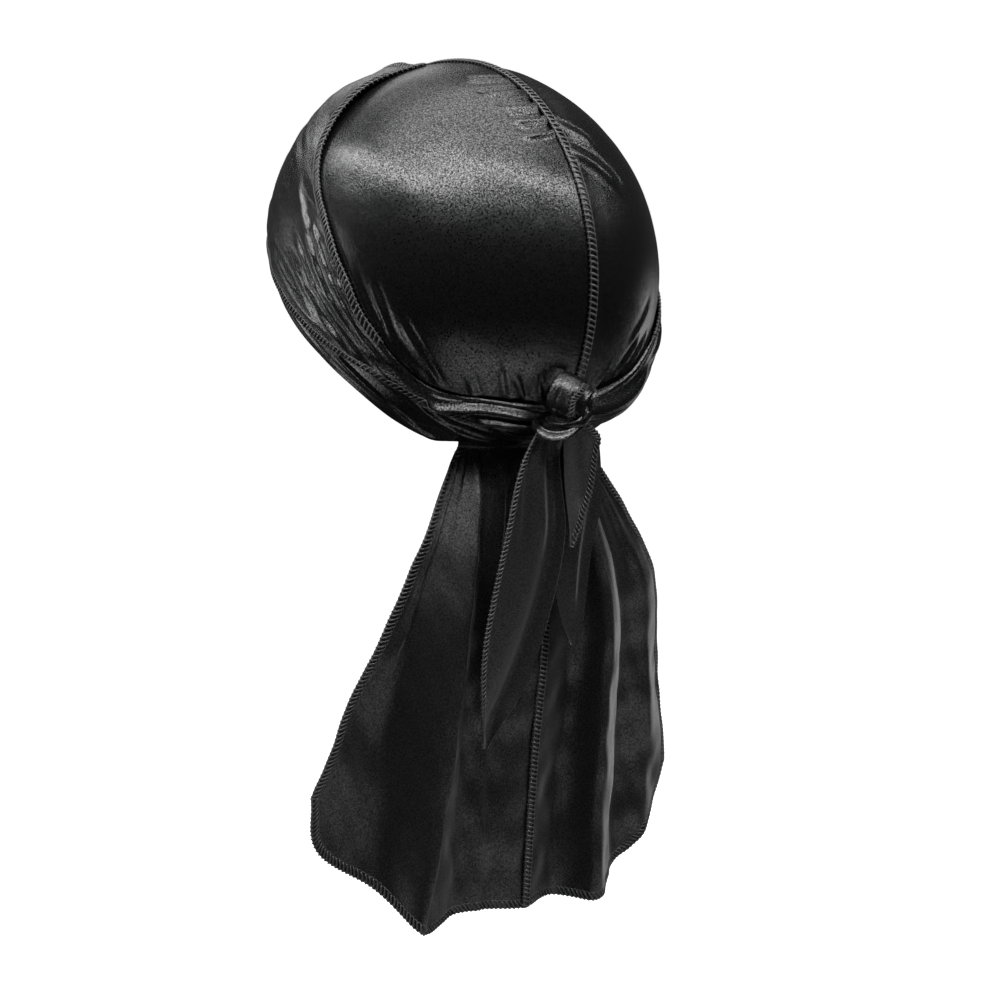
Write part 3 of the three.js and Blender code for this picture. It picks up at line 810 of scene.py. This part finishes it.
# Cape: one gathered satin sheet in two halves, from the nape to a rounded hem, with the centre seam running
# on down its middle. It hangs in deep folds from the gathers, and its edges are overlocked all round.
cape_length = 212 * mm
cape_half_width = 106 * mm
cape_fold_depth = 12 * mm
cape_stand_off = 19 * mm
cape_wrap_depth = 30 * mm
cape_top_level = -0.7
cape_tuck_level = -0.64
cape_top_lift = 1.0 * mm
# Fold lines: (place across the cloth, turn at the nape, sideways at a third, two thirds and all of the
# length, stand-out at the same three, length). Sideways, stand-out and length are shares.
cape_folds = [
    (-1, 36, 0.615, 0.84, 1, -0.55, -0.1, 0.1, 0.715),
    (-0.88, 35, 0.6, 0.81, 0.95, -0.5, -0.25, -0.15, 0.835),
    (-0.74, 33, 0.6, 0.7, 0.71, -0.35, -0.5, -0.4, 0.925),
    (-0.54, 28, 0.48, 0.535, 0.59, 0.45, 0.7, 0.85, 1.005),
    (-0.28, 18, 0.31, 0.32, 0.32, -0.35, -0.45, -0.35, 0.998),
    (0, 1, 0.04, 0.047, 0.033, 0, 0.05, 0.05, 1),
    (0.17, -9, -0.16, -0.17, -0.155, -0.35, -0.5, -0.45, 1.002),
    (0.36, -16, -0.285, -0.3, -0.315, 0.6, 0.85, 0.95, 1),
    (0.6, -21, -0.5, -0.6, -0.65, -0.45, -0.7, -0.65, 1),
    (0.8, -26, -0.63, -0.78, -0.84, -0.1, 0.15, 0.1, 0.93),
    (0.9, -28, -0.66, -0.85, -0.945, -0.2, -0.1, 0, 0.86),
    (1, -29.5, -0.69, -0.885, -1, -0.35, -0.3, -0.15, 0.79),
]
# Where the cloth lies over itself: (height mm, reach before and after the line in mm, then the line's points
# as (share of the length, place)).
cape_overlaps = [
    (
        5.0, 24.0, 3.0, (-0.1, -0.5), (0.1, -0.5), (0.35, -0.495), (0.6, -0.5),
        (0.8, -0.52), (1.0, -0.55), (1.2, -0.56),
    ),
    (3.0, 13.0, 3.0, (-0.1, -0.24), (0.1, -0.24), (0.4, -0.23), (0.8, -0.22), (1.2, -0.2)),
    (3.5, 3.0, 17.0, (-0.1, 0.28), (0.1, 0.28), (0.45, 0.3), (0.8, 0.31), (1.2, 0.32)),
    (2.5, 11.0, 3.0, (-0.1, 0.47), (0.15, 0.47), (0.5, 0.5), (0.85, 0.52), (1.2, 0.54)),
    (2.0, 10.0, 3.0, (-0.2, -0.76), (0.1, -0.76), (0.3, -0.78), (0.55, -0.84)),
]
cape_tuck = np.linspace(-0.04, -0.01, 4)
# Cloth that hangs free isn't stretched, so its weave lies looser and shines less. Its base colour is also
# lighter than the stretched satin's: painted light, to brighten the hanging cape and its folds.
slack_satin_painted_light = satin_finish("slack_satin", (0.013, 0.013, 0.0138), 0.4, 0.45, (0.2, 1.4))


def cape_grid(places, run):
    """Points of the cape's face by rows down its length (`run`) and columns across it (`places`). Rows before
    0 are the part that is tucked under the nape wrap."""
    fold = np.array(cape_folds, float)
    top = head_point(fold[:, 1] * degree, math.asin(cape_top_level), cape_top_lift)
    nape = head_point(np.array(0.0), math.asin(-0.72), 0.0)
    share = fold[:, 2:5]
    sideways = share * cape_half_width
    forward = cape_wrap_depth * np.abs(share) ** 1.6
    standing = nape[1] + cape_stand_off - forward + fold[:, 5:8] * cape_fold_depth
    thirds = (0, 1 / 3, 2 / 3, 1)
    hanging = np.maximum(run, 0)
    lines = []
    for k in range(len(fold)):
        stops_x = (top[k, 0], *sideways[k])
        stops_y = (top[k, 1], *standing[k])
        lines.append(through(np.column_stack((thirds, stops_x, stops_y)), hanging))
    lines = np.array(lines)
    grid = np.empty((len(run), len(places), 3))
    for i, v in enumerate(hanging):
        drop = top[:, 2] - v * fold[:, 8] * cape_length
        grid[i] = through(np.column_stack((fold[:, 0], lines[:, i], drop)), places)
    turn = through(fold[:, :2], places) * degree
    for i, v in enumerate(run[run < 0]):
        level = cape_top_level + (cape_tuck_level - cape_top_level) * v / run[0]
        grid[i] = head_point(turn, math.asin(level), cape_top_lift)
    return grid


def cape_half(places):
    """One half of the cape, with its gathers at the nape, its overlaps and the softer unevenness between."""
    run = np.concatenate((cape_tuck, np.linspace(0, 1, 151)))
    grid = cape_grid(places, run)
    place, down = np.meshgrid(places, run)
    gathers = np.exp(-down * 6) * np.sin(place * 34 + 1.2 * np.sin(place * 9)) * ease(0.0, 0.05, down)
    soft = 1.3 * noise(grid * (1, 1, 0.5), 26 * mm, 21) + 0.4 * noise(grid * (1, 1, 0.6), 10 * mm, 22)
    overlaps = strip_relief(down, place, cape_half_width / mm, cape_overlaps) * ease(0.0, 0.1, down)
    grid[..., 1] += (1.6 * gathers + overlaps + soft * ease(0.02, 0.3, down)) * mm
    return grid


left_cape_points = cape_half(np.linspace(-1, 0, 121))
right_cape_points = cape_half(np.linspace(0, 1, 121))
left_cape_points[..., 0] += panel_gap
right_cape_points[..., 0] -= panel_gap
# A place far in front of the wearer, which the cape's inner side faces.
before_wearer = (0.0, -2.0, -0.15)
cape_left = cloth_sheet("cape_left_satin", left_cape_points, before_wearer, finish=slack_satin_painted_light)
cape_right = cloth_sheet("cape_right_satin", right_cape_points, before_wearer, finish=slack_satin_painted_light)

cape_pitch = 2.1 * mm
cape_edge_width = 3.9 * mm
left_side = left_cape_points.transpose(1, 0, 2)
right_side = right_cape_points.transpose(1, 0, 2)[::-1]
cape_slant = 1.3
cape_stitches = []
for name, points, seed, part in (
    ("cape_left_side_stitches", left_side, 31, (0.04, 1)),
    ("cape_left_hem_stitches", left_cape_points[::-1], 32, (0, 1)),
    ("cape_right_side_stitches", right_side, 33, (0.04, 1)),
    ("cape_right_hem_stitches", right_cape_points[::-1], 34, (0, 1)),
):
    row = overlock(name, points, before_wearer, cape_pitch, cape_edge_width, cape_slant, seed, part)
    cape_stitches.append(row)
for half, node, stitches in (
    (cape_left, "cape_left", cape_stitches[:2]),
    (cape_right, "cape_right", cape_stitches[2:]),
):
    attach(half, "root")
    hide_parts(node)
    for row in stitches:
        sewn(row)

cape_seam_places = np.linspace(-0.019, 0.019, 9)
cape_seam_grid = cape_grid(cape_seam_places, np.linspace(0.03, 1, 181)).transpose(1, 0, 2)
cape_seam_grid[..., 1] += (1.1 - 0.6 * np.abs(np.linspace(-1, 1, 9))[:, None] ** 3) * mm
cape_seam = cloth_sheet("cape_seam_band", cape_seam_grid, before_wearer, thickness=0.7 * mm)
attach(cape_seam, "root")
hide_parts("cape_seam")
sewn(ladder("cape_seam_stitches", cape_seam_grid, cape_pitch, 35))

# Knot: the ends of the satin straps, tied at the nape a little to the left of the centre seam. A wide loop
# stands up and rolls over at the top, the turned end lies beside it, and two bands cross below. Stations are
# in mm from the knot's middle: (place, left edge's x, y, z, right edge's x, y, z).
knot_low, knot_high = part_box("knot_core")
knot_middle = (np.array(knot_low) + np.array(knot_high)) / 2
knot_size = np.array(knot_high) - np.array(knot_low)


def ribbon(stations, folds, puff, columns=121, rows=41):
    """A strip of satin through stations, by rows across it and columns along it. puff is how far its middle
    bulges, in mm, and folds are as for a strap."""
    run, across = np.meshgrid(np.linspace(0, 1, columns), np.linspace(0, 1, rows))
    edges = through(stations, run[0]) * mm
    left = edges[:, 0:3]
    wide = edges[:, 3:6] - left
    along = unit(np.gradient(left + wide / 2, axis=0))
    face = unit(np.cross(wide, along))
    width = np.linalg.norm(wide, axis=1) / mm
    bulge = puff * (1 - np.abs(2 * across - 1) ** 2.5) + strip_relief(run, across, width, folds)
    return knot_middle + left + across[..., None] * wide + bulge[..., None] * mm * face


loop_stations = [
    (0, 9.5, 2.5, 2, 0.5, 11, -2.5), (0.14, 12.5, 3.5, 5, 3.5, 12, 1.5), (0.3, 11, 3, 10.5, 2, 11.5, 7),
    (0.42, 8, 2.5, 15, -0.5, 11, 11), (0.5, 5.5, 2, 17, -3, 10, 13), (0.57, 2, 1, 18.5, -5.5, 8, 14.5),
    (0.64, -1.5, -0.5, 18.5, -8, 6.5, 14.5), (0.75, -1.5, -1, 14, -8, 5.5, 10.5),
    (1, 1.5, -1, 6, -5.5, 6, 2.5),
]
turned_end_stations = [
    (0, -5.5, 6.5, 15, -10, 9.5, 13), (0.2, 0.5, 11, 13, -8, 12.5, 11.5), (0.42, 5, 11.5, 9.5, -5.5, 14, 9),
    (0.62, 6, 11.5, 5.5, -4, 14.5, 5), (0.82, 5.5, 11, 1.5, -3, 14, 1.5), (1, 3.5, 8.5, -2.5, -2.5, 12, -2.5),
]
lower_band_stations = [
    (0, 10.5, -4.5, -2.5, 14, -3.5, -5.5), (0.2, 12, 0.5, -4, 16.5, 3, -6.5),
    (0.4, 11, 4.5, -5, 15.5, 8, -8.5), (0.6, 8, 8, -5, 12.5, 12.5, -8.5), (0.8, 4, 10.5, -3.5, 7.5, 15, -7),
    (1, -2, 11.5, -1, -0.5, 14, -3.5),
]
upper_band_stations = [
    (0, 8, 0.5, -1, 9, -1, -3), (0.25, 8, 6, -2, 8.5, 4.5, -4), (0.5, 6.5, 11, -1.5, 5.5, 10.5, -4.5),
    (0.75, 2.5, 14, 0.5, 0.5, 14.5, -3), (1, -3.5, 13, 5, -6, 14, 1.5),
]
loop_folds = [(0.5, 1.3, 1.3, (0, 0.7), (0.3, 0.75), (0.5, 0.6)), (-0.4, 0.8, 0.8, (0, 0.35), (0.4, 0.3))]
turned_end_folds = [(-0.8, 1.0, 1.0, (0.1, 0.75), (0.5, 0.7), (1, 0.55))]
lower_band_folds = [(0.3, 0.4, 0.4, (0.1, 0.3), (0.6, 0.35), (1, 0.5))]
loop_points = ribbon(loop_stations, loop_folds, puff=0.5)
turned_points = ribbon(turned_end_stations, turned_end_folds, puff=0.5, columns=81, rows=41)
lower_points = ribbon(lower_band_stations, lower_band_folds, puff=1.1, columns=81, rows=25)
upper_points = ribbon(upper_band_stations, [], puff=0.8, columns=61, rows=21)
inside_knot = tuple(knot_middle)
inside_loop = tuple(knot_middle + np.array((1.0, 2.0, 8.0)) * mm)
knot_loop = cloth_sheet("knot_loop_satin", loop_points, inside_loop)
turned_end = cloth_sheet("knot_turned_end", turned_points, inside_knot)
knot_band = cloth_sheet("knot_lower_band", lower_points, inside_knot, thickness=0.9 * mm)
upper_band = cloth_sheet("knot_upper_band", upper_points, inside_knot, thickness=0.9 * mm)
turned_stitches = overlock(
    "knot_turned_stitches", turned_points, inside_knot, pitch=1.8 * mm, width=2.6 * mm, slant=1.2, seed=45
)
sewn(turned_stitches)

# Where the turned end meets the loop, the edge of the cloth curls into a small ring.
curl_turn = (1.2, 0.35, 0.9)
curl_place = np.array((-0.5, 14.2, 3.4)) * mm
bpy.ops.object.select_all(action="DESELECT")
bpy.ops.mesh.primitive_torus_add(
    major_segments=40, minor_segments=14, major_radius=2.0 * mm, minor_radius=0.65 * mm, rotation=curl_turn
)
curl = bpy.context.object
curl.name = "knot_curl"
curl.data.transform(curl.matrix_world.to_3x3().to_4x4())
curl.rotation_euler = (0, 0, 0)
curl.data.transform(Matrix.Translation(knot_middle + curl_place))
bpy.ops.object.shade_smooth()
curl.data.materials.append(satin)

# The knot's core: the tightened straps inside it, rounded and creased.
core_half = knot_size * 0.36
core_place = knot_middle + np.array((-2.0, 0.0, 1.0)) * mm
bpy.ops.object.select_all(action="DESELECT")
bpy.ops.mesh.primitive_uv_sphere_add(segments=96, ring_count=64, radius=1.0)
knot_core = bpy.context.object
knot_core.name = "knot_core_satin"
core = np.empty(3 * len(knot_core.data.vertices))
knot_core.data.vertices.foreach_get("co", core)
core = core.reshape(-1, 3)
core_folds = 1 + 0.07 * np.sin(9 * np.arctan2(core[:, 2], core[:, 1]) + 3 * core[:, 0])
core = core * core_folds[:, None] * core_half + core_place
knot_core.data.vertices.foreach_set("co", core.reshape(-1))
bpy.ops.object.shade_smooth()
knot_core.data.materials.append(satin)

# Tails: the two pointed ends of the satin straps, which hang from the knot over the cape. The long one has an
# overlocked edge and a roll down its other side. The short one hangs behind it, with its upper part turned
# over to the front. Stations are as for the knot.
long_tail_stations = [
    (0, 13.5, 1, -7, 1, 5, -8), (0.08, 18.5, 1.5, -14, 4.5, 7, -14.5), (0.22, 24, 2.5, -24.5, 3.5, 9, -30),
    (0.4, 29, 3, -50.5, 0, 9.5, -52), (0.56, 34, 3, -78, 2, 8.5, -75.5), (0.7, 37, 3, -99.5, 7.5, 7, -102),
    (0.84, 36.5, 3, -120.5, 15.5, 5.5, -124.5), (0.94, 33.5, 3, -137, 23.5, 4.5, -138.5),
    (1, 29.5, 3, -149, 27.5, 3, -149.5),
]
short_tail_stations = [
    (0, 1.5, 1.5, -7, -19.5, 2, -8.5), (0.12, 3, 1.5, -14.5, -22, 2, -16.5),
    (0.35, 3.5, 2, -36.5, -25, 2.5, -40.5), (0.6, 2.5, 3.5, -61, -20.5, 4, -63.5),
    (0.8, -1, 4.5, -81.5, -18.5, 5, -85), (0.93, -6.5, 5, -96.5, -16.5, 5.5, -98.5),
    (1, -11.5, 5.5, -105, -13.5, 5.5, -106),
]
tail_turn_stations = [
    (0, -1.5, 4, -5.5, -11, 5, -4), (0.1, 0.5, 4, -9, -17.5, 5.5, -9), (0.3, 0.5, 4.5, -17.5, -17, 6, -19),
    (0.55, 0, 5.5, -29.5, -15.5, 7, -30.5), (0.8, -1.5, 7, -41.5, -11.5, 8, -43),
    (0.93, -3.2, 7.8, -52, -8, 8.2, -52.5), (1, -3.8, 8.2, -58.5, -5, 8.5, -58.4),
]
long_tail_folds = [
    (-1.8, 3.0, 2.0, (-0.2, 0.52), (0, 0.54), (0.12, 0.56), (0.24, 0.6), (0.4, 0.66), (0.5, 0.7)),
    (1.2, 2.0, 4.5, (-0.2, 0.12), (0, 0.14), (0.2, 0.22), (0.5, 0.34)),
    (
        5.4, 7.0, 4.0, (-0.1, 0.78), (0.1, 0.82), (0.3, 0.85), (0.5, 0.86), (0.7, 0.82), (0.95, 0.7),
        (1.2, 0.6),
    ),
]
short_tail_folds = [
    (1.5, 3.0, 3.0, (0.1, 0.8), (0.5, 0.85), (0.9, 0.8)),
    (-1.0, 2.0, 2.0, (0.1, 0.6), (0.6, 0.65), (0.9, 0.6)),
]
turned_folds = [
    (1.8, 5.0, 3.0, (-0.2, 0.35), (0, 0.35), (0.3, 0.45), (0.6, 0.6), (0.9, 0.7)),
]
long_tail_points = ribbon(long_tail_stations, long_tail_folds, puff=0.6, columns=151, rows=45)
short_tail_points = ribbon(short_tail_stations, short_tail_folds, puff=0.6, columns=121, rows=35)
tail_turn_points = ribbon(tail_turn_stations, turned_folds, puff=0.6, columns=91, rows=35)
# The turned part shows the satin's reverse, which is duller and lighter than its face.
satin_reverse = satin_finish("satin_reverse", (0.05, 0.05, 0.053), 0.5, 0.5, (0.3, 1.4))
# The tails' satin is the straps' satin with more sheen and a lighter base colour. The lighter colour is
# painted light that brightens the hanging tails.
tail_satin_painted_light = satin_finish("tail_satin", (0.024, 0.024, 0.0255), 0.36, 0.5, (0.3, 1.6))
long_tail = cloth_sheet("long_tail_satin", long_tail_points, before_wearer, finish=tail_satin_painted_light)
short_tail = cloth_sheet("short_tail_satin", short_tail_points, before_wearer, finish=tail_satin_painted_light)
tail_turn = cloth_sheet("short_tail_turned_part", tail_turn_points, before_wearer, finish=satin_reverse)
turned_edge = tail_turn_points[::-1]
long_tail_stitches = overlock(
    "long_tail_stitches", long_tail_points, before_wearer, pitch=2.0 * mm, width=2.3 * mm, slant=0.9, seed=41
)
turn_stitches = overlock(
    "short_tail_stitches", turned_edge, before_wearer, pitch=2.0 * mm, width=2.8 * mm, slant=1.2, seed=42
)

for piece, node, size, area, others in (
    (long_tail, "long_tail", (0.045, 0.15), 0.0042, [long_tail_stitches]),
    (short_tail, "short_tail", (0.035, 0.11), 0.0026, []),
    (tail_turn, None, (0.03, 0.055), 0.0009, [turn_stitches]),
    (knot_loop, "knot_loop", (0.014, 0.046), 0.0005, []),
    (turned_end, None, (0.014, 0.03), 0.00025, [turned_stitches]),
    (knot_band, "knot_band", (0.012, 0.04), 0.00022, []),
    (upper_band, None, (0.01, 0.03), 0.00012, [curl]),
):
    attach(piece, "root")
    if node:
        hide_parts(node)
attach(curl, "root")
for row in (long_tail_stitches, turn_stitches):
    sewn(row)
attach(knot_core, "root")
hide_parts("knot_core")
